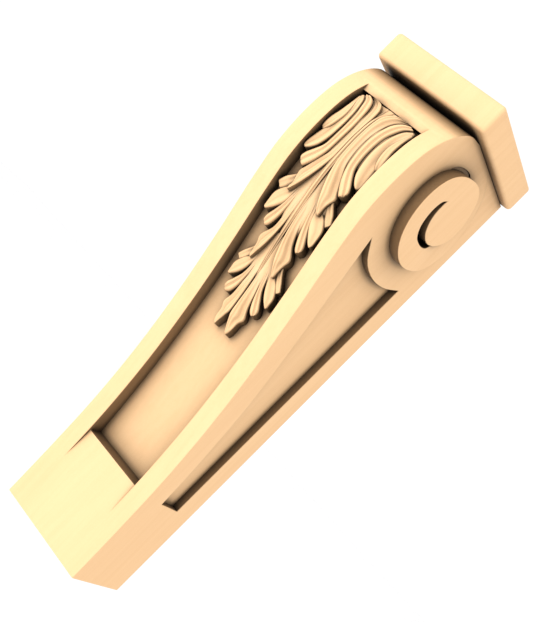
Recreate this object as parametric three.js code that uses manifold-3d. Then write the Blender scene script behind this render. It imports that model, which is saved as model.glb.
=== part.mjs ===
// Wooden corbel bracket: a carved body with a scroll on each cheek, a cap board over it
// and an acanthus leaf in the sunk front. Millimetres, +Z up, X across, -Y away from the wall.
// Heights below are measured from the foot; the finished group is lowered to put the origin
// at the middle of the back, where the bracket meets the wall.
import * as THREE from "three";
import { mergeVertices } from "three/addons/utils/BufferGeometryUtils.js";
import Module from "manifold-3d";

// Whole bracket
const HEIGHT = 400;
const MOUNT_HEIGHT = HEIGHT / 2;
const JOINT_GAP = 0.3;
// Facets that lie this close to flat are joined into larger ones
const FACET_FLAT = 0.03;

// Body: cheeks and core in one block of wood
const BODY_WIDTH = 82.2;
const BODY_TOP = 378;
const CHEEK_WIDTH = 13.7;
// Front line of the cheeks, foot to roll, as [depth from the wall, height]
const FRONT_LINE = [
  [61.7, 0],
  [63.9, 44],
  [67.9, 88],
  [76.2, 134],
  [89.2, 181],
  [104.4, 224],
  [121.0, 266],
  [129.4, 293],
  [131.8, 320],
  [128.4, 344],
  [118.6, 362],
  [104.5, 374],
  [88, BODY_TOP],
];
const FRONT_STEPS = 60;
const BEYOND = 150;

// Sunk front between the cheeks
const BLOCK_DEPTH = 63.9;
const BLOCK_TOP = 70;
const RAIL_DEPTH = 122.3;
const RAIL_LOW = 351.5;
const RAIL_FLUSH = 357.5;
const FLOOR_TOP = 353.4;
const FLOOR_LINE = [
  [52.3, 72],
  [60.9, 118],
  [72.7, 164],
  [87.2, 210],
  [105.2, 255],
  [116.2, 287],
  [120.2, 316],
  [118.2, 340],
  [113.4, FLOOR_TOP],
];
const FLOOR_STEPS = 30;

// Sunk panel in each cheek
const PANEL_SINK = 5.7;
const PANEL_BACK = 21;
const PANEL_FOOT = 71.6;
const PANEL_FRONT_LINE = [
  [45.2, PANEL_FOOT],
  [48.9, 108],
  [58.4, 160],
  [73.9, 211],
  [91.4, 260],
  [101, 287.4],
];
const PANEL_SWAG = [
  [101, 287.4],
  [82, 276.6],
  [60, 273.4],
  [39, 276.4],
  [PANEL_BACK, 283.6],
];
const PANEL_STEPS = 22;
const SWAG_STEPS = 14;

// Scroll on each cheek: one spiral line about the centre, as [turn in degrees, radius].
// The turn is measured from the front over the top, and past 360 it runs on inwards.
const SCROLL_CENTRE = [66.5, 328.5];
const SCROLL_RISE = 8.5;
const SPIRAL = [
  [100, 49.6],
  [140, 50.6],
  [180, 46.8],
  [215, 42.2],
  [245, 37.8],
  [285, 36.1],
  [335, 36.7],
  [385, 37],
  [430, 33.6],
  [470, 34.6],
  [505, 31.2],
  [535, 28.2],
  [576, 20.3],
  [593, 17.5],
  [611, 15.3],
  [630, 13.6],
  [650, 12.6],
  [674, 12.1],
  [703, 12.7],
  [720, 13.7],
  [738, 15.1],
  [757, 17.3],
];
const CRESCENT_LIP = [
  [576, 20.3],
  [591, 20.6],
  [611, 19.7],
  [632, 19.2],
  [651, 19.8],
  [677, 20.2],
  [704, 19.9],
  [737, 19.7],
  [747, 18.9],
  [757, 17.3],
];
const RAMP_START = 100;
const RAMP_FULL = 260;
const RAMP_END = 270;
const DISC_START = 265;
const CRESCENT_START = 576;
const CRESCENT_END = 757;
const CRESCENT_SINK = 5;
// Shallow ledge along the foot of the disc, above its middle
const LEDGE_SINK = 0.9;
const LEDGE_INNER = 30;
const LEDGE_LINE = [
  [45, 36.1],
  [52, 37],
  [62, 36.7],
  [75, 36.2],
  [88, 36],
  [97, 34.6],
];
const TURN_STEP = 5;

// Cap board
const CAP_WIDTH = 96.4;
const CAP_DEPTH = 110.2;
const CAP_ROUND = 3;

// Acanthus leaf: every lobe is a list of [from the centre line, height, half width, thickness]
const LEAF_TOP = 351.2;
const LOBE_STEPS = 10;
const LOBE_ACROSS = 4;
const LOBE_HOLLOW = 1.9;
const TIP_SHARE = 0.14;
const STEM = [
  [0, LEAF_TOP, 8, 13.4],
  [0, 340, 5.4, 13.8],
  [0, 322, 4, 13.2],
  [0, 300, 2.6, 12],
  [0, 270, 1.5, 11],
  [0, 245, 1, 10],
  [0, 222, 0.7, 9.2],
];
// Low ground that ties the lobes together at the bottom of the cuts between them
const WEB = [
  [0, LEAF_TOP, 23, 4],
  [0, 338, 22, 4],
  [0, 324, 21, 4],
  [0, 311, 18, 4],
  [0, 298, 9, 4],
  [0, 285, 15, 4],
  [0, 272, 15, 4],
  [0, 259, 9, 4],
  [0, 246, 7, 4],
  [0, 233, 13, 4],
  [0, 220, 10, 4],
  [0, 207, 6, 4],
  [0, 194, 3, 4],
];
// The fan under the rail: four lobes that part again below the waist of the leaf
const FAN = [
  [
    [10.9, LEAF_TOP, 1.9, 12.2],
    [8.3, 340, 2.2, 12.4],
    [6, 318, 2, 12],
    [7.4, 299, 3.4, 11.6],
    [12, 285, 4.4, 12],
    [15, 273, 1, 13.4],
  ],
  [
    [15.5, LEAF_TOP, 1.9, 11.4],
    [13.8, 338, 2.6, 11],
    [12, 318, 2.9, 10.6],
    [14.4, 304.6, 3.2, 10],
    [22.2, 293.6, 2.2, 9.6],
  ],
  [
    [20.1, 349.6, 1.6, 10.4],
    [19, 338, 1.8, 10],
    [18.8, 322, 2.6, 9.4],
    [21.8, 309, 3.2, 9.6],
    [25.4, 301.4, 1.6, 10.6],
  ],
  [
    [23.4, 347, 1.1, 8.6],
    [23.4, 336, 1.7, 8.6],
    [24.2, 325, 2.3, 7.8],
    [24.8, 315, 1.1, 6.4],
  ],
];
// A leaflet: main, slim, side and ear lobes, with heights above the tip of the main lobe
const LEAFLET = [
  [
    [3.1, 76, 0.9, 11],
    [3.6, 60, 1.2, 10.6],
    [5, 38, 2.2, 10.4],
    [8.4, 20, 4, 10.6],
    [10.4, 11, 3.2, 11],
    [11.8, 0.6, 0.9, 11.6],
  ],
  [
    [5.9, 65, 1.1, 9.6],
    [8.1, 52, 1.5, 9.2],
    [11.6, 37, 2.4, 8.8],
    [17, 22.4, 2.1, 9],
  ],
  [
    [8.2, 63, 1.2, 8.8],
    [12.6, 48.6, 2.3, 8.4],
    [18.2, 39, 4, 8.8],
    [22.6, 29.4, 1.2, 10.4],
  ],
  [
    [12.4, 62, 1.4, 7.2],
    [17.4, 53.6, 2.2, 7.4],
    [23.8, 45.6, 2, 8],
  ],
];
const LEAFLETS = [
  { tip: 226.6, spread: 1, mainSpread: 1, thickness: 1 },
  { tip: 180.3, spread: 0.87, mainSpread: 0.56, thickness: 0.86 },
];

const PALE_WOOD = 0xf3cb98;
const CARVED_WOOD = 0xf5d3a0;

const wasm = await Module();
wasm.setup();

// A closed geometry as a solid that can be joined and cut, its faces turned outwards.
function toSolid(geometry) {
  geometry.deleteAttribute("normal");
  geometry.deleteAttribute("uv");
  const merged = mergeVertices(geometry, 1e-4);
  const vertProperties = merged.attributes.position.array;
  const triVerts = new Uint32Array(merged.index.array);
  const solid = new wasm.Manifold(new wasm.Mesh({ numProp: 3, vertProperties, triVerts }));
  if (solid.volume() > 0) return solid;
  triVerts.reverse();
  return new wasm.Manifold(new wasm.Mesh({ numProp: 3, vertProperties, triVerts }));
}

// A solid as a geometry, with flat faces and no needless small ones.
function toGeometry(solid) {
  const mesh = solid.simplify(FACET_FLAT).getMesh();
  const geometry = new THREE.BufferGeometry();
  geometry.setAttribute("position", new THREE.BufferAttribute(mesh.vertProperties, 3));
  geometry.setIndex(new THREE.BufferAttribute(mesh.triVerts, 1));
  const flat = geometry.toNonIndexed();
  flat.computeVertexNormals();
  return flat;
}

// Points of a smooth line through the given [depth, height] stations.
function lineThrough(stations, steps) {
  const points = stations.map(([depth, height]) => new THREE.Vector3(depth, height, 0));
  const curve = new THREE.CatmullRomCurve3(points, false, "centripetal");
  return curve.getPoints(steps).map((p) => new THREE.Vector2(p.x, p.y));
}

// Value at t, from 0 to 1, of a Catmull-Rom line through rows of numbers.
function blend(rows, t) {
  const last = rows.length - 1;
  const place = Math.min(t * last, last - 1e-9);
  const i = Math.floor(place);
  const f = place - i;
  const row = (k) => rows[Math.max(0, Math.min(last, k))];
  return rows[0].map((_, n) => {
    const [a, b, c, d] = [row(i - 1)[n], row(i)[n], row(i + 1)[n], row(i + 2)[n]];
    return THREE.MathUtils.lerp(b, c, f) + f * (1 - f) * (
      (1 - f) * ((c - a) / 2 - (c - b)) + f * ((c - b) - (d - b) / 2)
    );
  });
}

// Second column of a table at a value of its first one, along the same kind of line.
function lookUp(table, value) {
  const last = table.length - 1;
  let i = 0;
  while (i < last - 1 && value > table[i + 1][0]) i += 1;
  const span = table[i + 1][0] - table[i][0];
  const t = (i + (value - table[i][0]) / span) / last;
  return blend(table, Math.max(0, Math.min(1, t)))[1];
}

// A flat outline of [depth, height] points made into a slab from x = left to x = right.
function slabAcross(outline, left, right) {
  const shape = new THREE.Shape(outline);
  const geometry = new THREE.ExtrudeGeometry(shape, { depth: right - left, bevelEnabled: false });
  // Outline depth goes to -Y and outline height to +Z; the thickness goes along X.
  const turn = new THREE.Matrix4().set(0, 0, 1, left, -1, 0, 0, 0, 0, 1, 0, 0, 0, 0, 0, 1);
  return geometry.applyMatrix4(turn);
}

// A closed skin over a grid of rings: every ring has the same number of points.
function skin(rings) {
  const count = rings[0].length;
  const position = [];
  const face = (a, b, c) => position.push(...a.toArray(), ...b.toArray(), ...c.toArray());
  for (let i = 0; i + 1 < rings.length; i += 1) {
    for (let k = 0; k < count; k += 1) {
      const next = (k + 1) % count;
      face(rings[i][k], rings[i][next], rings[i + 1][next]);
      face(rings[i][k], rings[i + 1][next], rings[i + 1][k]);
    }
  }
  const [start, end] = [rings[0], rings[rings.length - 1]];
  for (let k = 1; k + 1 < count; k += 1) {
    face(start[0], start[k + 1], start[k]);
    face(end[0], end[k], end[k + 1]);
  }
  const geometry = new THREE.BufferGeometry();
  geometry.setAttribute("position", new THREE.Float32BufferAttribute(position, 3));
  return geometry;
}

// Point of the scroll's plane at a turn and a radius, as [depth, height].
function scrollPoint(turn, radius) {
  const angle = THREE.MathUtils.degToRad(turn);
  return new THREE.Vector2(
    SCROLL_CENTRE[0] + radius * Math.cos(angle),
    SCROLL_CENTRE[1] + radius * Math.sin(angle),
  );
}

// Points along a [turn, radius] table between two turns.
function scrollLine(table, from, to) {
  const steps = Math.ceil(Math.abs(to - from) / TURN_STEP);
  return Array.from({ length: steps + 1 }, (_, i) => {
    const turn = from + ((to - from) * i) / steps;
    return scrollPoint(turn, lookUp(table, turn));
  });
}

const side = BODY_WIDTH / 2;
const recessHalf = side - CHEEK_WIDTH;
const floorPoints = lineThrough(FLOOR_LINE, FLOOR_STEPS);

// The body's block: the cheek outline carried across the whole width.
function bodyBlock() {
  const outline = [new THREE.Vector2(0, 0), ...lineThrough(FRONT_LINE, FRONT_STEPS)];
  outline.push(new THREE.Vector2(0, BODY_TOP));
  return toSolid(slabAcross(outline, -side, side));
}

// What is cut away between the cheeks, with the block's face and the rail's face.
function frontRecess() {
  const outline = [
    new THREE.Vector2(BEYOND, 40),
    new THREE.Vector2(BEYOND, RAIL_FLUSH),
    new THREE.Vector2(RAIL_DEPTH, RAIL_FLUSH),
    new THREE.Vector2(RAIL_DEPTH, RAIL_LOW),
    ...[...floorPoints].reverse(),
    new THREE.Vector2(BLOCK_DEPTH, BLOCK_TOP),
    new THREE.Vector2(BLOCK_DEPTH, 40),
  ];
  return toSolid(slabAcross(outline, -recessHalf, recessHalf));
}

// The sunk panel of the right cheek.
function panelRecess() {
  const outline = [
    new THREE.Vector2(PANEL_BACK, PANEL_FOOT),
    ...lineThrough(PANEL_FRONT_LINE, PANEL_STEPS),
    ...lineThrough(PANEL_SWAG, SWAG_STEPS).slice(1),
  ];
  return slabAcross(outline, side - PANEL_SINK, side + PANEL_SINK);
}

// The raised disc of the right scroll, out to its spiral edge.
function scrollDisc() {
  const outline = [
    ...scrollLine(SPIRAL, DISC_START, CRESCENT_START),
    ...scrollLine(SPIRAL, CRESCENT_START, RAMP_END + 360).slice(1),
  ];
  // The disc's inner end lies in the crescent, which is cut out afterwards.
  outline.push(scrollPoint(RAMP_END, lookUp(CRESCENT_LIP, RAMP_END + 360)));
  outline.push(scrollPoint(DISC_START, lookUp(CRESCENT_LIP, DISC_START + 360)));
  return slabAcross(outline, side - 2, side + SCROLL_RISE);
}

// The outer coil of the right scroll, which climbs from the cheek to the disc.
function scrollRamp() {
  const rings = [];
  const steps = Math.ceil((RAMP_END - RAMP_START) / TURN_STEP);
  for (let i = 0; i <= steps; i += 1) {
    const turn = RAMP_START + ((RAMP_END - RAMP_START) * i) / steps;
    const rise = SCROLL_RISE * THREE.MathUtils.smoothstep(turn, RAMP_START, RAMP_FULL);
    const outer = scrollPoint(turn, lookUp(SPIRAL, turn));
    const inner = scrollPoint(turn, lookUp(SPIRAL, turn + 360) + (turn > 216 ? 1 : -1));
    const low = side - 2;
    const high = side + rise;
    rings.push([
      new THREE.Vector3(low, -outer.x, outer.y),
      new THREE.Vector3(high, -outer.x, outer.y),
      new THREE.Vector3(high, -inner.x, inner.y),
      new THREE.Vector3(low, -inner.x, inner.y),
    ]);
  }
  return skin(rings);
}

// The deep crescent between the coil and the eye of the right scroll.
function crescent() {
  const outline = [
    ...scrollLine(SPIRAL, CRESCENT_START, CRESCENT_END - 2),
    ...scrollLine(CRESCENT_LIP, CRESCENT_END, CRESCENT_START + TURN_STEP),
  ];
  return slabAcross(outline, side - CRESCENT_SINK, side + 2 * SCROLL_RISE);
}

// The shallow ledge beside the disc of the right scroll, cut before the disc is added.
function scrollLedge() {
  const [start, end] = [LEDGE_LINE[0][0], LEDGE_LINE[LEDGE_LINE.length - 1][0]];
  const outline = scrollLine(LEDGE_LINE, start, end);
  outline.push(scrollPoint(end, LEDGE_INNER), scrollPoint(start, LEDGE_INNER));
  return slabAcross(outline, side - LEDGE_SINK, side + SCROLL_RISE);
}

// Joins or cuts a right-hand form and its mirror image on the left.
function onBothSides(solid, geometry, action) {
  const left = geometry.clone().scale(-1, 1, 1);
  return solid[action](toSolid(geometry))[action](toSolid(left));
}

function body() {
  let solid = bodyBlock().subtract(frontRecess());
  solid = onBothSides(solid, panelRecess(), "subtract");
  solid = onBothSides(solid, scrollRamp(), "add");
  solid = onBothSides(solid, scrollLedge(), "subtract");
  solid = onBothSides(solid, scrollDisc(), "add");
  return onBothSides(solid, crescent(), "subtract");
}

// The cap: a board rounded on every edge.
function cap() {
  const low = BODY_TOP + JOINT_GAP;
  const halfWidth = CAP_WIDTH / 2 - CAP_ROUND;
  const depth = CAP_DEPTH - 2 * CAP_ROUND;
  const corner = CAP_ROUND / 2;
  const shape = new THREE.Shape();
  shape.moveTo(-halfWidth + corner, 0);
  shape.lineTo(halfWidth - corner, 0);
  shape.absarc(halfWidth - corner, corner, corner, -Math.PI / 2, 0);
  shape.absarc(halfWidth - corner, depth - corner, corner, 0, Math.PI / 2);
  shape.absarc(-halfWidth + corner, depth - corner, corner, Math.PI / 2, Math.PI);
  shape.absarc(-halfWidth + corner, corner, corner, Math.PI, Math.PI * 1.5);
  const geometry = new THREE.ExtrudeGeometry(shape, {
    depth: HEIGHT - low - 2 * CAP_ROUND,
    bevelThickness: CAP_ROUND,
    bevelSize: CAP_ROUND,
    bevelSegments: 3,
    curveSegments: 3,
  });
  geometry.translate(0, -depth - CAP_ROUND, low + CAP_ROUND);
  return toSolid(geometry);
}

// Depth of the sunk floor from the wall at a height.
function floorDepth(height) {
  const i = Math.max(1, floorPoints.findIndex((p) => p.y >= height));
  const [low, high] = [floorPoints[i - 1], floorPoints[i]];
  return low.x + ((height - low.y) * (high.x - low.x)) / (high.y - low.y);
}

// One lobe: an arched rib along its line, with upright sides down to the floor.
function lobe(stations) {
  const rings = [];
  const at = (t) => blend(stations, t);
  const steps = Math.max(LOBE_STEPS, 2 * stations.length);
  for (let i = 0; i <= steps; i += 1) {
    const t = i / steps;
    const [u, z, half, thickness] = at(t);
    const [u1, z1] = at(Math.min(1, t + 0.02));
    const [u0, z0] = at(Math.max(0, t - 0.02));
    const along = new THREE.Vector2(u1 - u0, z1 - z0).normalize();
    const intoTip = Math.max(0, (t - 1 + TIP_SHARE) / TIP_SHARE);
    const width = half * Math.sqrt(1 - 0.8 * intoTip * intoTip);
    const ring = [];
    for (let k = 0; k <= LOBE_ACROSS; k += 1) {
      const c = (2 * k) / LOBE_ACROSS - 1;
      const x = u - along.y * width * c;
      const height = Math.min(z + along.x * width * c, LEAF_TOP);
      const rise = thickness - LOBE_HOLLOW * c * c - 0.8 * intoTip * intoTip;
      ring.push(new THREE.Vector3(x, -floorDepth(height) - rise, height));
    }
    const [first, end] = [ring[0], ring[LOBE_ACROSS]];
    ring.push(new THREE.Vector3(end.x, -floorDepth(end.z) - JOINT_GAP, end.z));
    ring.push(new THREE.Vector3(first.x, -floorDepth(first.z) - JOINT_GAP, first.z));
    rings.push(ring);
  }
  return skin(rings);
}

// The lobes of one half of the leaf.
function halfLeaf() {
  const lobes = FAN.map((stations) => lobe(stations));
  for (const { tip, spread, mainSpread, thickness } of LEAFLETS) {
    LEAFLET.forEach((stations, i) => {
      const across = i === 0 ? mainSpread : spread;
      lobes.push(lobe(stations.map(([u, z, half, rise]) => [
        u * across,
        tip + z,
        half,
        rise * thickness,
      ])));
    });
  }
  return lobes;
}

function leaf() {
  let solid = toSolid(lobe(STEM)).add(toSolid(lobe(WEB)));
  for (const form of halfLeaf()) {
    solid = onBothSides(solid, form, "add");
  }
  return solid;
}

function piece(name, solid, color, roughness) {
  const material = new THREE.MeshStandardMaterial({ color, roughness, metalness: 0 });
  const mesh = new THREE.Mesh(toGeometry(solid), material);
  mesh.name = name;
  return mesh;
}

const corbel = new THREE.Group();
corbel.add(piece("body", body(), PALE_WOOD, 0.6));
corbel.add(piece("cap", cap(), PALE_WOOD, 0.6));
corbel.add(piece("leaf", leaf(), CARVED_WOOD, 0.6));
corbel.position.z = -MOUNT_HEIGHT;

export default corbel;
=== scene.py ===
"""Looks of a carved wooden corbel bracket: an S-shaped body with a scroll on each cheek,
a cap board over it and an acanthus leaf in the sunk front. Metres, +Z up, -Y is the front."""

import math

import bmesh
import bpy
import numpy as np
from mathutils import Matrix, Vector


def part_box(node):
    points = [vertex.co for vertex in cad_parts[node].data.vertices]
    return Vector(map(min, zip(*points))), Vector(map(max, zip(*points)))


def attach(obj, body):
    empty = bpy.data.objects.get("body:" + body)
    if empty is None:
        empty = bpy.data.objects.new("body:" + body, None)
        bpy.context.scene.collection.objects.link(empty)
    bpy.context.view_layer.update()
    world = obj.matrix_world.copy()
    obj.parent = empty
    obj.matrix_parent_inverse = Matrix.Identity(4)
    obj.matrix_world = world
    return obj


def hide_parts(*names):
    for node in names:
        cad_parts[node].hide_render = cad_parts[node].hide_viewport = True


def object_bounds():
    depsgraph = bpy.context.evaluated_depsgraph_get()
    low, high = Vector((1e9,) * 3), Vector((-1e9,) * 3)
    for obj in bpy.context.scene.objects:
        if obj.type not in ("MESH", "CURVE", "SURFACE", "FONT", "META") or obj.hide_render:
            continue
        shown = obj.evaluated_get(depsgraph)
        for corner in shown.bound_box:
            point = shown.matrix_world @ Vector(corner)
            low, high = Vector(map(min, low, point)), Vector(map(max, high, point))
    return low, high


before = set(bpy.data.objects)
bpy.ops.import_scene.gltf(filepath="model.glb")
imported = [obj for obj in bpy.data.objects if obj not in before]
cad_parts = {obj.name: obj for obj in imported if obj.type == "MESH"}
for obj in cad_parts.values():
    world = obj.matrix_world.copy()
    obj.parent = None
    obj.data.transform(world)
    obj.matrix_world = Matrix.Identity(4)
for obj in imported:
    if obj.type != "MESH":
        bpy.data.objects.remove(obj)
cad_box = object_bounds()

# The view: the bracket is seen a little from its right and turned by an eighth of a turn,
# so the camera is rolled. The picture is 537 wide and 622 high, and its longer side takes
# in the whole film width, which the lens is measured against.
CAMERA_PLACE = (0.35035, -0.67157, 0.00506)
CAMERA_DEGREES = (90.724, -45.103, 29.113)
LENS = 61.24
FILM_WIDTH = 36
camera = bpy.data.objects.new("camera", bpy.data.cameras.new("camera"))
camera.data.lens = LENS
camera.data.sensor_width = FILM_WIDTH
camera.location = CAMERA_PLACE
camera.rotation_euler = [math.radians(degrees) for degrees in CAMERA_DEGREES]
bpy.context.scene.collection.objects.link(camera)
bpy.context.scene.camera = camera
bpy.context.scene.view_settings.view_transform = "Standard"

# The studio: a pale, dull floor well under the bracket, an even white room, and one broad
# soft lamp in front of the bracket, a little up and to the left, turned to its middle.
FLOOR_HEIGHT = -0.6
FLOOR_HALF = 6.0
FLOOR_COLOUR = (0.95, 0.95, 0.95, 1)
FLOOR_ROUGHNESS = 0.9
ROOM_COLOUR = (1, 1, 1, 1)
ROOM_STRENGTH = 1.05
LAMP_PLACE = (-0.5, -2.2, 0.6)
LAMP_SIZE = 1.8
LAMP_POWER = 32

floor_corners = [
    (x * FLOOR_HALF, y * FLOOR_HALF, FLOOR_HEIGHT)
    for x, y in [(-1, -1), (1, -1), (1, 1), (-1, 1)]
]
floor_mesh = bpy.data.meshes.new("floor")
floor_mesh.from_pydata(floor_corners, [], [(0, 1, 2, 3)])
floor = bpy.data.objects.new("floor", floor_mesh)
floor_paint = bpy.data.materials.new("floor_paint")
floor_paint.use_nodes = True
floor_surface = floor_paint.node_tree.nodes["Principled BSDF"]
floor_surface.inputs["Base Color"].default_value = FLOOR_COLOUR
floor_surface.inputs["Roughness"].default_value = FLOOR_ROUGHNESS
floor_mesh.materials.append(floor_paint)
bpy.context.scene.collection.objects.link(floor)

room = bpy.data.worlds.new("studio")
room.use_nodes = True
room.node_tree.nodes["Background"].inputs["Color"].default_value = ROOM_COLOUR
room.node_tree.nodes["Background"].inputs["Strength"].default_value = ROOM_STRENGTH
bpy.context.scene.world = room

light = bpy.data.lights.new("front_lamp", "AREA")
light.size = LAMP_SIZE
light.energy = LAMP_POWER
lamp = bpy.data.objects.new("front_lamp", light)
lamp.location = LAMP_PLACE
to_middle = -lamp.location
lamp.rotation_euler = to_middle.to_track_quat("-Z", "Y").to_euler()
bpy.context.scene.collection.objects.link(lamp)

# The body: cheeks, core and scrolls cut from one block of pale close-grained wood, sanded
# smooth and left bare. Its carved arrises are softened by hand, so no edge is a knife edge.
MM = 0.001
# The wood, its late growth and its rubbed arrises
WOOD = (0.915, 0.587, 0.311, 1)
WOOD_LATE = (0.80, 0.48, 0.235, 1)
WOOD_PALE = (0.95, 0.66, 0.39, 1)
# What the wood's colour is multiplied by in full painted shade in a hollow, and under painted
# shade on a wall or on the roll under the cap
HOLLOW_SHADE_TONE = (0.020, 0.017, 0.014, 1)
PAINTED_SHADE_TONE = (0.40, 0.38, 0.34, 1)
# How near other wood has to be, in metres, to lay painted shade in a hollow or a nook, and
# how steeply it darkens. Two faces that meet within ARRIS_REACH, through the wood, make a
# rubbed arris.
HOLLOW_REACH = 0.09
HOLLOW_POWER = 1.25
NOOK_REACH = 0.005
NOOK_POWER = 1.2
ARRIS_REACH = 0.0012
# How much each mark shows in the colour
STREAKS_SHOW = 0.22
FIGURE_SHOWS = 0.20
PORES_SHOW = 0.16
FUZZ_SHOWS = 0.12
RUBBING_SHOWS = 0.35
# The sanded wood's roughness, and what each mark adds to it or takes from it
ROUGHNESS = 0.62
STREAKS_ROUGHEN = 0.06
PORES_ROUGHEN = 0.10
RUBBING_SMOOTHS = 0.12
SHINE = 0.25
# How high the fibres and fuzz stand and how deep the pores lie, against one another
FIBRES_RISE = 0.5
FUZZ_RISES = 0.3
PORES_SINK = 0.7
RELIEF_STRENGTH = 0.18
RELIEF_DEPTH = 0.0002


class Shade:
    """One output of a material's nodes. Sums, differences, products and powers of it
    add Math nodes, and make() adds any other node. A Mix node's factor is its input 0, its
    colours are inputs 6 and 7, and the mixed colour is output 2."""

    def __init__(self, tree, socket=None):
        self.tree = tree
        self.socket = socket

    def make(self, kind, output=0, settings=None, **inputs):
        """Adds a node, sets its settings, feeds its inputs, and gives one output. An input
        goes by its name, with _ for a space, or by its number after a _."""
        node = self.tree.nodes.new("ShaderNode" + kind)
        for name, value in (settings or {}).items():
            setattr(node, name, value)
        for name, value in inputs.items():
            key = int(name[1:]) if name[0] == "_" else name.replace("_", " ")
            if isinstance(value, Shade):
                self.tree.links.new(value.socket, node.inputs[key])
            else:
                node.inputs[key].default_value = value
        return Shade(self.tree, node.outputs[output])

    def math(self, operation, first, second):
        """A Math node on two values."""
        return self.make("Math", 0, {"operation": operation}, _0=first, _1=second)

    def __add__(self, other):
        return self.math("ADD", self, other)

    def __radd__(self, other):
        return self.math("ADD", other, self)

    def __sub__(self, other):
        return self.math("SUBTRACT", self, other)

    def __rsub__(self, other):
        return self.math("SUBTRACT", other, self)

    def __mul__(self, other):
        return self.math("MULTIPLY", self, other)

    def __rmul__(self, other):
        return self.math("MULTIPLY", other, self)

    def __pow__(self, other):
        return self.math("POWER", self, other)

    def span(self, low, high):
        """0 where this is at low, 1 where it is at high, smooth between and flat beyond."""
        settings = {"interpolation_type": "SMOOTHSTEP"}
        return self.make("MapRange", 0, settings, Value=self, From_Min=low, From_Max=high)

    def tint(self, without, with_it):
        """The first colour where this is 0, the second where it is 1."""
        return self.make("Mix", 2, {"data_type": "RGBA"}, _0=self, _6=without, _7=with_it)

    def toned(self, tone):
        """This colour multiplied by a tone."""
        settings = {"data_type": "RGBA", "blend_type": "MULTIPLY"}
        return self.make("Mix", 2, settings, _0=1.0, _6=self, _7=tone)


def wood(name, grain_turn=(0, 0, 0), shift=0.0):
    """Bare wood. Its streaks, broad figure, pores and fibres are each a noise drawn out
    along the grain, and its fuzz is a fine even noise. It has painted shade in hollows and
    nooks, is paler on rubbed arrises, and has painted shade on walls and on the roll under
    the cap as far as the mesh's attribute says. grain_turn turns the grain from upright,
    and shift takes the marks from another place in the wood."""
    material = bpy.data.materials.new(name)
    material.use_nodes = True
    tree = material.node_tree
    surface = tree.nodes["Principled BSDF"]
    start = Shade(tree)
    place = start.make("TexCoord", "Object")

    def grain(across, along, detail):
        """A noise with so many waves to a metre across the grain and along it."""
        stretched = start.make(
            "Mapping", 0, {}, Vector=place, Location=(shift, shift, shift),
            Rotation=grain_turn, Scale=(across, across, along),
        )
        return start.make(
            "TexNoise", 0, {}, Vector=stretched, Scale=1.0, Detail=detail, Roughness=0.6,
        )

    def open_share(reach, samples, inside=False):
        """How much of the room round a place is free, from 0 to 1, as far as its reach:
        the air in front of it or, inside, the wood behind it."""
        settings = {"samples": samples, "inside": inside}
        return start.make("AmbientOcclusion", "AO", settings, Distance=reach)

    streaks = grain(across=260, along=9, detail=4).span(low=0.35, high=0.72)
    figure = grain(across=38, along=2.6, detail=3).span(low=0.3, high=0.7)
    pores = grain(across=1500, along=70, detail=2).span(low=0.60, high=0.78)
    fibres = grain(across=2600, along=160, detail=2)
    fuzz = start.make("TexNoise", 0, {}, Vector=place, Scale=900, Detail=2)
    open_to_light = open_share(HOLLOW_REACH, samples=16)
    out_of_nook = open_share(NOOK_REACH, samples=16)
    wood_behind = open_share(ARRIS_REACH, samples=8, inside=True)
    # Painted shade: the colour darkens where other wood closes in round a hollow or a nook
    unshaded_share = open_to_light**HOLLOW_POWER * out_of_nook**NOOK_POWER
    rubbed = (1 - wood_behind).span(low=0.35, high=0.95)

    colour = (streaks * STREAKS_SHOW + figure * FIGURE_SHOWS).tint(WOOD, WOOD_LATE)
    colour = (pores * PORES_SHOW).tint(colour, WOOD_LATE)
    colour = (fuzz.span(low=0.45, high=0.75) * FUZZ_SHOWS).tint(colour, WOOD_PALE)
    colour = (rubbed * RUBBING_SHOWS).tint(colour, WOOD_PALE)
    shaded = colour.toned(HOLLOW_SHADE_TONE)
    colour = unshaded_share.tint(shaded, colour)
    # Painted shade on the cut walls and on the roll under the cap, as the mesh's attribute
    # gives it
    painted_shade_share = start.make("Attribute", "Fac", {"attribute_name": "painted_shade_share"})
    painted_shade = colour.toned(PAINTED_SHADE_TONE)
    colour = painted_shade_share.tint(colour, painted_shade)
    tree.links.new(colour.socket, surface.inputs["Base Color"])

    roughness = (
        ROUGHNESS + streaks * STREAKS_ROUGHEN + pores * PORES_ROUGHEN - rubbed * RUBBING_SMOOTHS
    )
    tree.links.new(roughness.socket, surface.inputs["Roughness"])
    surface.inputs["Specular IOR Level"].default_value = SHINE
    relief = fibres * FIBRES_RISE + fuzz * FUZZ_RISES - pores * PORES_SINK
    bump = start.make(
        "Bump", 0, {}, Strength=RELIEF_STRENGTH, Distance=RELIEF_DEPTH, Height=relief,
    )
    tree.links.new(bump.socket, surface.inputs["Normal"])
    return material


def note_painted_shade(mesh, shares, domain="FACE"):
    """Notes on every face or corner how much painted shade darkens its wood, from 0 to 1."""
    mesh.attributes.new("painted_shade_share", "FLOAT", domain).data.foreach_set("value", shares)


def show(mesh, name, node, material):
    """Puts a finished mesh in the scene in place of its CAD node, riding on the root body."""
    piece = bpy.data.objects.new(name, mesh)
    bpy.context.scene.collection.objects.link(piece)
    mesh.materials.clear()
    mesh.materials.append(material)
    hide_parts(node)
    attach(piece, "root")


# An outward edge is rounded where its faces turn by more than ARRIS_ANGLE and both reach
# further than ARRIS_ROOM from it. A material number marks the rounded faces until the
# mesh is made.
ARRIS = 0.45 * MM
ARRIS_ROOM = 2.5 * ARRIS
ARRIS_ANGLE = math.radians(35)
ARRIS_STEPS = 3
ROUNDED = 1
# Points this close are one, and faces this near to flat are made one
SAME_POINT = 0.01 * MM
FLAT_ENOUGH = math.radians(0.05)


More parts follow.
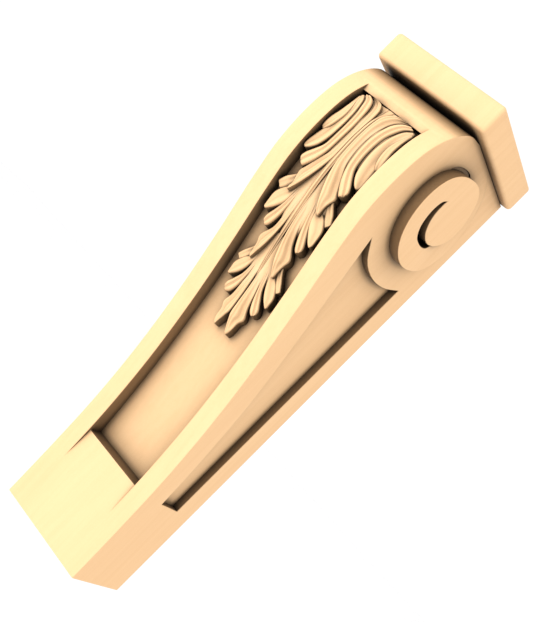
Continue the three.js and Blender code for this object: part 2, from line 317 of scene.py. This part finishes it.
def room_beside(edge):
    """How far the narrower of an edge's two faces reaches from it."""
    start = edge.verts[0].co
    along = (edge.verts[1].co - start).normalized()
    return min(
        max((corner.co - start).cross(along).length for corner in face.verts)
        for face in edge.link_faces
    )


carving = bmesh.new()
carving.from_mesh(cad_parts["body"].data)
bmesh.ops.remove_doubles(carving, verts=carving.verts, dist=SAME_POINT)
bmesh.ops.dissolve_limit(
    carving, angle_limit=FLAT_ENOUGH, verts=carving.verts, edges=carving.edges,
)
arrises = [
    edge for edge in carving.edges
    if edge.calc_face_angle_signed() > ARRIS_ANGLE and room_beside(edge) > ARRIS_ROOM
]
bmesh.ops.bevel(
    carving, geom=arrises, offset=ARRIS, segments=ARRIS_STEPS, profile=0.5, affect="EDGES",
    material=ROUNDED,
)
# Rounding may push a corner a hair further out to the side than the CAD, so it is set back
outermost = cad_box[1][0]
for corner in carving.verts:
    corner.co.x = max(-outermost, min(outermost, corner.co.x))
carving.normal_update()


def corner_normal(vertex, face):
    """The mean, by area, of the cut faces round a vertex that turn less than ARRIS_ANGLE from
    a face, so wide faces stay flat. A face of a rounded arris takes after the nearest one."""
    cut = [beside for beside in vertex.link_faces if beside.material_index != ROUNDED]
    if not cut:
        return vertex.normal.copy()
    nearest = max(cut, key=lambda beside: beside.normal.dot(face.normal))
    total = nearest.normal * 0
    for beside in cut:
        if beside.normal.dot(nearest.normal) > math.cos(ARRIS_ANGLE):
            total += beside.normal * beside.calc_area()
    return total.normalized()


# Walls further than SIDE_WALLS from the middle are those of the panels and scrolls, and a
# wall is square to the cheeks where its normal leans sideways by less than WALL_LEAN. The
# ledge over the foot block looks up, by more than LEDGE_TURN, and lies below LEDGE_BELOW.
SIDE_WALLS = 36 * MM
WALL_LEAN = 0.5
LEDGE_TURN = 0.5
LEDGE_BELOW = -120 * MM
# How much painted shade the side walls of the sunk front get
FRONT_PAINTED_SHADE = 0.6
# The roll is what looks up, by more than ROLL_TURN, above ROLL_FOOT, except on the sides
# behind ROLL_FRONT. Its painted shade under the cap rises from none at the first of the
# next two heights to full at the second.
ROLL_TURN = 0.4
ROLL_FOOT = 155 * MM
ROLL_FRONT = -98 * MM
ROLL_UNSHADED = 161 * MM
ROLL_FULL_SHADE = 171.5 * MM


def painted_shade_amount(face, corner):
    """Painted shade: 1 on the walls of the panels and scrolls and on the ledge over the foot
    block, less on the walls of the sunk front, and 0 on the outer faces. On the roll, where it
    turns in under the cap, the painted shade rises up to 1 on an S-curve of the corner's
    height."""
    middle = face.calc_center_median()
    off_sides = abs(middle.x) < SIDE_WALLS or middle.y < ROLL_FRONT
    if face.normal.z > ROLL_TURN and middle.z > ROLL_FOOT and off_sides:
        rise = (corner.co.z - ROLL_UNSHADED) / (ROLL_FULL_SHADE - ROLL_UNSHADED)
        rise = min(1, max(0, rise))
        return rise * rise * (3 - 2 * rise)
    if face.material_index == ROUNDED:
        return 0
    if abs(face.normal.x) < WALL_LEAN:
        on_side = abs(middle.x) > SIDE_WALLS
        on_ledge = face.normal.z > LEDGE_TURN and middle.z < LEDGE_BELOW
        return 1 if on_side or on_ledge else 0
    return FRONT_PAINTED_SHADE if face.normal.x * middle.x < 0 else 0


normals = [corner_normal(corner, face) for face in carving.faces for corner in face.verts]
# How much painted shade each corner of the body gets
painted_shade = [painted_shade_amount(face, corner) for face in carving.faces for corner in face.verts]
for face in carving.faces:
    face.material_index = 0
body_mesh = bpy.data.meshes.new("carved_body")
carving.to_mesh(body_mesh)
carving.free()
body_mesh.shade_smooth()
body_mesh.normals_split_custom_set(normals)
note_painted_shade(body_mesh, painted_shade, "CORNER")
show(body_mesh, "carved_body", "body", wood("body_wood"))

# The cap: a board of the same wood, glued over the body, with its grain running across.
# All its edges are rounded with a plane and sandpaper, so its section is a rectangle with
# quarter-round corners.
CAP_LOW, CAP_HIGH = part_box("cap")
CAP_ROUND = 3 * MM
ROUND_STEPS = 8
CAP_GRAIN_TURN = (0, math.pi / 2, 0)


def surface_mesh(name, grids):
    """Joins closed surfaces into a mesh. Each is an array of rings of points, closed round
    each ring, and its first and last rings are closed by a flat face."""
    points = []
    faces = []
    start = 0
    for grid in grids:
        rings, count, _ = grid.shape
        number = start + np.arange(rings * count).reshape(rings, count)
        following = np.roll(number, -1, axis=1)
        quads = np.stack([number[:-1], following[:-1], following[1:], number[1:]], -1)
        faces += quads.reshape(-1, 4).tolist()
        faces += [number[0][::-1].tolist(), number[-1].tolist()]
        points.append(grid.reshape(-1, 3))
        start += rings * count
    mesh = bpy.data.meshes.new(name)
    mesh.from_pydata(np.concatenate(points).tolist(), [], faces)
    mesh.update()
    return mesh


def rounded_board(low, high, radius):
    """A board with round edges, as rings at turns a from -90 to 90 degrees. A ring is a
    rectangle with round corners. It is drawn in by radius * (1 - cos a) from the sides, and
    stands radius * sin a above a level that lies a radius inside the nearer flat face."""
    middle = (np.array(low) + np.array(high)) / 2
    half = (np.array(high) - np.array(low)) / 2
    turn = np.linspace(-math.pi / 2, math.pi / 2, 2 * ROUND_STEPS)
    lift = np.where(turn < 0, -1, 1) * (half[2] - radius) + radius * np.sin(turn)
    quarter = np.linspace(0, math.pi / 2, ROUND_STEPS)
    around = np.concatenate([quarter + number * math.pi / 2 for number in range(4)])
    side_x = np.repeat([1, -1, -1, 1], ROUND_STEPS)
    side_y = np.repeat([1, 1, -1, -1], ROUND_STEPS)
    reach = (radius * np.cos(turn))[:, None]
    x = side_x * (half[0] - radius) + reach * np.cos(around)
    y = side_y * (half[1] - radius) + reach * np.sin(around)
    z = np.broadcast_to(lift[:, None], x.shape)
    return np.stack([x, y, z], -1) + middle


cap_mesh = surface_mesh("cap_board", [rounded_board(CAP_LOW, CAP_HIGH, CAP_ROUND)])
cap_mesh.shade_smooth()
cap_mesh.set_sharp_from_angle(angle=ARRIS_ANGLE)
cap_wood = wood("cap_wood", grain_turn=CAP_GRAIN_TURN, shift=1.7)
show(cap_mesh, "cap_board", "cap", cap_wood)

# The leaf: an acanthus carved by hand from the same wood and planted in the sunk front.
# Lobes with a gouge cut along them stand on steep walls, and are parted by deep V cuts.
# Its sizes are in millimetres, with heights over the foot, which is FOOT under the origin.
FOOT = 200
LEAF_TOP = 351.2
# The sunk front from its foot to its top, as [height, depth from the wall], and the
# number of points that it is read at
SUNK_FRONT = [
    [72, 52.3], [118, 60.9], [164, 72.7], [210, 87.2], [255, 105.2],
    [287, 116.2], [316, 120.2], [340, 118.2], [353.4, 113.4],
]
SUNK_STEPS = 200
# A lobe runs from its stem to its tip between two edges, as rows of
# [inner edge across, up, outer edge across, up, inner thickness, outer thickness]
FAN = {
    "great": [
        [12.6, LEAF_TOP, 17.4, 350.9, 12.2, 9.6],
        [6.9, 349.9, 12.6, 348.4, 12.8, 9.8],
        [3.5, 346.4, 9.4, 343.6, 13.2, 10.2],
        [1.5, 341.4, 7.9, 337.6, 13.4, 10.6],
        [0.8, 333, 6.8, 330, 13.3, 11.2],
        [0.9, 322, 6.6, 321, 13.2, 10.9],
        [1.0, 312, 7.1, 313, 12.7, 10.6],
        [1.6, 304, 8.4, 306, 12.4, 10],
        [3.4, 296, 12.0, 299, 12.6, 8.8],
        [5.7, 289, 15.6, 291, 12.8, 8.2],
        [7.5, 284.4, 17.2, 287.2, 13, 8.4],
        [9.6, 279.6, 16.0, 283, 13.2, 10],
        [12.0, 275.4, 15.0, 278.4, 13.6, 11],
        [14.3, 272.4, 15.6, 274, 14, 13],
    ],
    "slim": [
        [18.0, 350.7, 21.8, 349.4, 10.6, 10],
        [13.4, 348.4, 18.0, 345.8, 11, 10.2],
        [10.0, 343.2, 15.6, 340, 11.4, 10.4],
        [8.1, 336, 13.8, 334, 11.6, 10.4],
        [7.0, 327, 13.2, 326, 11.6, 10.2],
        [7.4, 316, 13.4, 316, 11.2, 10],
        [8.8, 305.6, 14.6, 308.4, 10.6, 9.8],
        [11.6, 297.8, 17.8, 302.8, 10.2, 9.8],
        [15.0, 292, 21.0, 298, 9.8, 9.8],
        [17.6, 288.6, 22.8, 293.4, 9.8, 9.8],
    ],
    "side": [
        [22.0, 348.8, 24.4, 347.2, 9.8, 9.2],
        [18.8, 345.6, 23.2, 343, 10, 9],
        [16.4, 340, 21.8, 337.4, 10.2, 8.6],
        [14.8, 333, 22.0, 331, 10.4, 7.8],
        [14.2, 324, 23.4, 325, 10.4, 7.2],
        [15.0, 314, 24.4, 318.2, 10.2, 7.2],
        [17.2, 306, 26.0, 310, 10.6, 8],
        [20.8, 301, 26.6, 303.6, 10.8, 9.4],
        [24.2, 298.8, 26.2, 300, 11, 10.4],
    ],
    "ear": [
        [23.2, 347, 24.8, 345.8, 9.6, 8.8],
        [21.6, 342.2, 24.4, 340.6, 9.5, 8.8],
        [19.8, 337, 24.5, 335.4, 9.2, 9],
        [18.8, 331, 25.0, 330, 9, 9.2],
        [19.4, 324.6, 26.2, 324.6, 9, 9.2],
        [21.2, 318.6, 26.8, 320.2, 8.8, 8.8],
        [24.0, 314.6, 26.6, 316.4, 8.4, 8.2],
    ],
    "sheet": [
        [1.4, LEAF_TOP, 24.0, 348.6, 8, 8],
        [1.4, 343, 22.0, 340.4, 9.2, 7.8],
        [1.4, 334, 21.4, 333, 11, 7.2],
        [1.2, 325, 22.4, 326, 10.8, 6.4],
        [1.2, 315, 20.8, 317, 10.4, 6.4],
        [1.2, 305, 14.6, 308, 10.2, 7],
        [1.6, 297, 12.4, 300, 9.8, 5.6],
    ],
}
UPPER_LEAFLET = {
    "great": [
        [1.6, 305, 4.0, 305, 11.4, 10.8],
        [1.5, 290, 4.6, 290, 11.2, 10.2],
        [1.5, 275, 6.4, 275, 11, 9.6],
        [1.9, 261, 7.6, 261, 11.2, 9.2],
        [3.2, 250, 10.0, 251, 11.7, 7.6],
        [4.8, 242, 14.0, 244.6, 12.1, 7.4],
        [6.2, 237, 15.0, 241.2, 12.3, 7.8],
        [7.6, 233.6, 13.5, 237, 12.2, 8.8],
        [9.4, 229.6, 12.7, 232, 11.8, 10.3],
        [11.0, 226.5, 12.6, 228, 11.9, 11],
    ],
    "slim": [
        [4.8, 292, 7.0, 292, 9.8, 9.2],
        [6.6, 278, 9.6, 279, 9.4, 8.8],
        [8.0, 266, 12.6, 268, 9.0, 8.4],
        [10.0, 257, 15.6, 260.5, 8.8, 8.2],
        [12.8, 250, 18.4, 254, 8.8, 8.6],
        [15.5, 247.4, 18.6, 250.2, 9, 9],
    ],
    "side": [
        [7.0, 290, 9.4, 290, 9, 8.4],
        [9.6, 277, 13.6, 278, 8.8, 8],
        [11.6, 267.5, 19.4, 273.5, 9.2, 7.6],
        [15.4, 261.4, 23.2, 267.5, 9.8, 8.4],
        [19.4, 257, 23.6, 260.4, 10.6, 9.6],
        [22.0, 255.2, 23.4, 257, 11, 10.6],
    ],
    "ear": [
        [11.0, 288, 13.6, 290, 7, 7],
        [14.0, 280, 18.0, 284, 7, 7.6],
        [18.0, 274, 22.6, 279.2, 7.2, 8.4],
        [21.8, 270.2, 25.8, 274.2, 7.6, 8.6],
    ],
    "sheet": [
        [1.1, 300, 8.0, 300, 10.4, 8.4],
        [1.0, 288, 12.0, 288, 10.2, 7.4],
        [0.9, 277, 17.4, 279, 10, 6.4],
        [0.8, 267, 12.8, 270, 9.6, 7],
        [1.2, 257, 9.6, 260, 9, 7],
        [2.4, 249, 8.0, 251, 7.8, 5],
    ],
}
LOWER_LEAFLET = {
    "great": [
        [0.9, 262, 2.0, 262, 9.8, 9.4],
        [1.0, 245, 2.6, 245, 9.6, 9],
        [0.6, 228, 4.0, 228, 9.4, 8.8],
        [0.25, 214, 6.6, 214, 9.2, 8.2],
        [0.2, 202, 8.4, 203, 9.7, 7],
        [0.4, 194, 10.9, 196, 10, 6.6],
        [1.6, 190.2, 8.8, 191.4, 10.1, 7.6],
        [3.5, 185, 8.2, 185.6, 9.7, 9],
        [5.3, 180.3, 6.9, 181.2, 9.8, 9.4],
    ],
    "slim": [
        [3.2, 240, 4.6, 240, 8.8, 8.4],
        [4.6, 228, 7.2, 229, 8.4, 8],
        [6.2, 216, 9.8, 218, 8, 7.8],
        [8.0, 208, 13.4, 211.5, 7.8, 7.6],
        [10.6, 202.6, 16.4, 206.4, 8, 8],
        [13.8, 200.4, 16.4, 203, 8.2, 8.2],
    ],
    "side": [
        [5.6, 240, 7.4, 240, 8, 7.6],
        [8.0, 228, 11.4, 230, 8, 7.4],
        [10.2, 220.5, 16.6, 225, 8.2, 7],
        [13.6, 214.8, 20.2, 219, 8.6, 7.6],
        [17.2, 211.4, 20.4, 214, 9, 8.4],
        [19.2, 210, 20.4, 211.4, 9.2, 8.8],
    ],
    "ear": [
        [9.4, 238, 11.4, 240, 6.4, 6.4],
        [12.0, 230, 15.0, 233.6, 6.4, 7],
        [15.4, 224.4, 18.8, 228.6, 6.4, 7.6],
        [18.4, 221, 21.8, 224, 6.6, 7.6],
    ],
    "sheet": [
        [0.4, 250, 5.0, 250, 9.2, 7.6],
        [0.4, 240, 9.0, 240, 9, 6.8],
        [0.4, 230, 14.0, 231, 8.8, 5.4],
        [0.2, 220, 9.6, 223, 8.4, 6],
        [0.1, 210, 7.6, 212, 8, 5.8],
        [0.1, 203, 6.0, 204, 7.6, 4.6],
    ],
}
# Middle rib and the low ground in the bottom of the cuts, as [up, half width, thickness]
RIB = [
    [LEAF_TOP, 5.0, 8.2], [349, 4.4, 8.6], [345.6, 3.4, 9.6], [341.6, 2.6, 11.2],
    [336, 2.2, 12.7], [328, 2.0, 13.1], [318, 2.0, 12.8], [306, 2.0, 12.3],
    [293, 2.1, 12], [278, 2.1, 11.4], [262, 2.0, 11], [246, 1.5, 10.4],
    [232, 1.0, 9.9], [218, 0.5, 9.4],
]
GROUND = [
    [LEAF_TOP, 22, 4], [338, 23, 4], [324, 23, 4], [311, 20, 4], [298, 12, 4],
    [285, 15, 4], [272, 17, 4], [259, 11, 4], [246, 9, 4], [233, 13, 4],
    [220, 11, 4], [207, 8, 4], [194, 4, 4],
]
# Gouge cuts along each kind of lobe, as [share of the width, depth, half width]
GOUGES = {
    "great": [[0.66, 1.3, 1.9], [0.27, 0.5, 0.6]],
    "slim": [[0.55, 0.8, 0.8]],
    "side": [[0.62, 0.8, 1.9]],
    "ear": [[0.5, 0.5, 1.1]],
    "sheet": [],
    "rib": [[0.22, 0.8, 0.5], [0.78, 0.8, 0.5]],
}
# Rows of points along a lobe's top, and points across it
ALONG = 56
ACROSS = 30
# How far the top falls away at its inner and outer edge, and how soon that fades
INNER_FALL = 1.5
OUTER_FALL = 1.3
FALL_SOFT = 0.6
# The last share of a lobe that is its tip, the share of its squared width that the tip
# loses, and how far it drops
TIP = 0.05
TIP_CLOSES = 0.85
TIP_DROP = 1.2
# What a lobe gives up at each edge to the cut beside it, and how deep its walls stand in
# the sunk front
CUT_HALF = 0.1
ROOTED = 0.8
# Faces that look forward or back by less than STEEP are cut walls, which get painted
# shade, and edges between faces that turn by more than LOBE_EDGE stay sharp
STEEP = 0.3
LOBE_EDGE = math.radians(60)


def smooth_rows(rows, share):
    """Rows of numbers read at shares of the way from the first to the last, along
    Catmull-Rom lines: cubics whose slope at a row is half of the next row less the
    row before."""
    table = np.array(rows, float)
    last = len(table) - 1
    # The very end is read a hair before it, so that it stays in the last step
    place = np.clip(share * last, 0, last - 1e-9)
    row = place.astype(int)
    way = (place - row)[:, None]
    before, here, after, beyond = (
        table[np.clip(row + step, 0, last)] for step in (-1, 0, 1, 2)
    )
    linear = way * (after - before) / 2
    square = way**2 * (before - 2.5 * here + 2 * after - beyond / 2)
    cubic = way**3 * (1.5 * (here - after) + (beyond - before) / 2)
    return here + linear + square + cubic


SUNK_HEIGHTS, SUNK_DEPTHS = smooth_rows(SUNK_FRONT, np.linspace(0, 1, SUNK_STEPS)).T


def lobe(rows, gouges, side, inner_fall=INNER_FALL):
    """A lobe over the sunk front. Share t runs from stem to tip and share c from the inner
    to the outer edge. Thickness = the two edges' thickness mixed by c, less
    fall * exp(-distance / FALL_SOFT) at each edge, less depth * exp(-(distance / half)^2)
    for each gouge. Over the last TIP of t the width shrinks on an ellipse and the top
    drops. Two points under the sunk front close each ring, and side -1 mirrors the lobe."""
    t = np.linspace(0, 1, ALONG)
    in_x, in_z, out_x, out_z, in_thick, out_thick = smooth_rows(rows, t).T[:, :, None]
    c = (1 - np.cos(math.pi * np.linspace(0, 1, ACROSS))) / 2
    width = np.hypot(out_x - in_x, out_z - in_z)
    into_tip = np.clip((t - 1 + TIP) / TIP, 0, 1)[:, None]
    kept = np.sqrt(1 - TIP_CLOSES * into_tip**2) * (1 - 2 * CUT_HALF / width)
    place = 0.5 + (c - 0.5) * kept
    x = in_x + (out_x - in_x) * place
    z = np.minimum(in_z + (out_z - in_z) * place, LEAF_TOP)
    thickness = in_thick + (out_thick - in_thick) * c
    thickness = thickness - inner_fall * np.exp(-c * width / FALL_SOFT)
    thickness = thickness - OUTER_FALL * np.exp(-(1 - c) * width / FALL_SOFT)
    for share, depth, half in gouges:
        distance = (c - share) * width
        thickness = thickness - depth * np.exp(-((distance / half) ** 2))
    thickness = thickness - TIP_DROP * into_tip**3
    ground = np.interp(z, SUNK_HEIGHTS, SUNK_DEPTHS)
    top = np.stack([x, -(ground + thickness), z - FOOT], -1)
    roots = np.stack([x, -(ground - ROOTED), z - FOOT], -1)[:, [-1, 0]]
    rings = np.concatenate([top, roots], 1) * (side, 1, 1) * MM
    return rings[:, ::-1] if side > 0 else rings


def centred(rows):
    """Rows of [up, half width, thickness] as a lobe's rows, even about the middle line."""
    return [[-half, up, half, up, thick, thick] for up, half, thick in rows]


lobes = [
    lobe(centred(RIB), GOUGES["rib"], 1, inner_fall=OUTER_FALL),
    lobe(centred(GROUND), [], 1),
]
for spray in (FAN, UPPER_LEAFLET, LOWER_LEAFLET):
    for kind, rows in spray.items():
        lobes += [lobe(rows, GOUGES[kind], side) for side in (1, -1)]
leaf_mesh = surface_mesh("acanthus_leaf", lobes)
leaf_facing = np.empty(3 * len(leaf_mesh.polygons))
leaf_mesh.polygons.foreach_get("normal", leaf_facing)
# The leaf's steep cut walls are darkened with painted shade
shaded_leaf_wall = np.abs(leaf_facing[1::3]) < STEEP
note_painted_shade(leaf_mesh, shaded_leaf_wall.astype(float))
leaf_mesh.shade_smooth()
leaf_mesh.set_sharp_from_angle(angle=LOBE_EDGE)
show(leaf_mesh, "acanthus_leaf", "leaf", wood("leaf_wood", shift=0.6))
